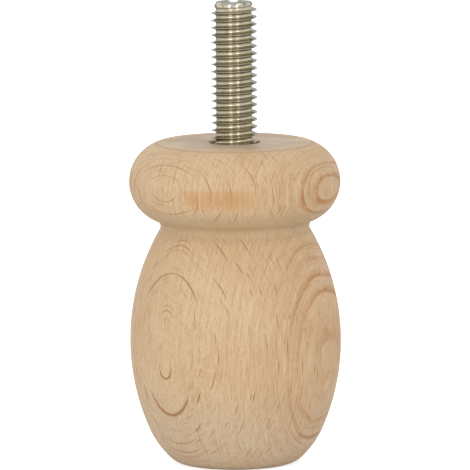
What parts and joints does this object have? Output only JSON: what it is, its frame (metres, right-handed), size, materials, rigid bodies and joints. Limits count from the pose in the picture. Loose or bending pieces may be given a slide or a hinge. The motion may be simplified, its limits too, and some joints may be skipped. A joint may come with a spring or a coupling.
{
  "type": "turned furniture foot",
  "caption": "Turned beech foot with a barrel body, cut-in neck and rounded collar, and a steel hanger bolt standing out of its flat top.",
  "frame": {"origin": "middle of the flat base, where the foot stands", "axes": "+Z along the axis of turning, from the base up to the bolt; +X and +Y square to it, with the slot in the bolt's end along Y"},
  "size_m": [0.036, 0.036, 0.079],
  "materials": {
    "beech": "raw sanded beech, no varnish",
    "steel": "bright plated steel, rolled thread"
  },
  "bodies": {
    "root": {"turned_foot": "beech", "hanger_bolt": "steel"}
  },
  "joints": []
}
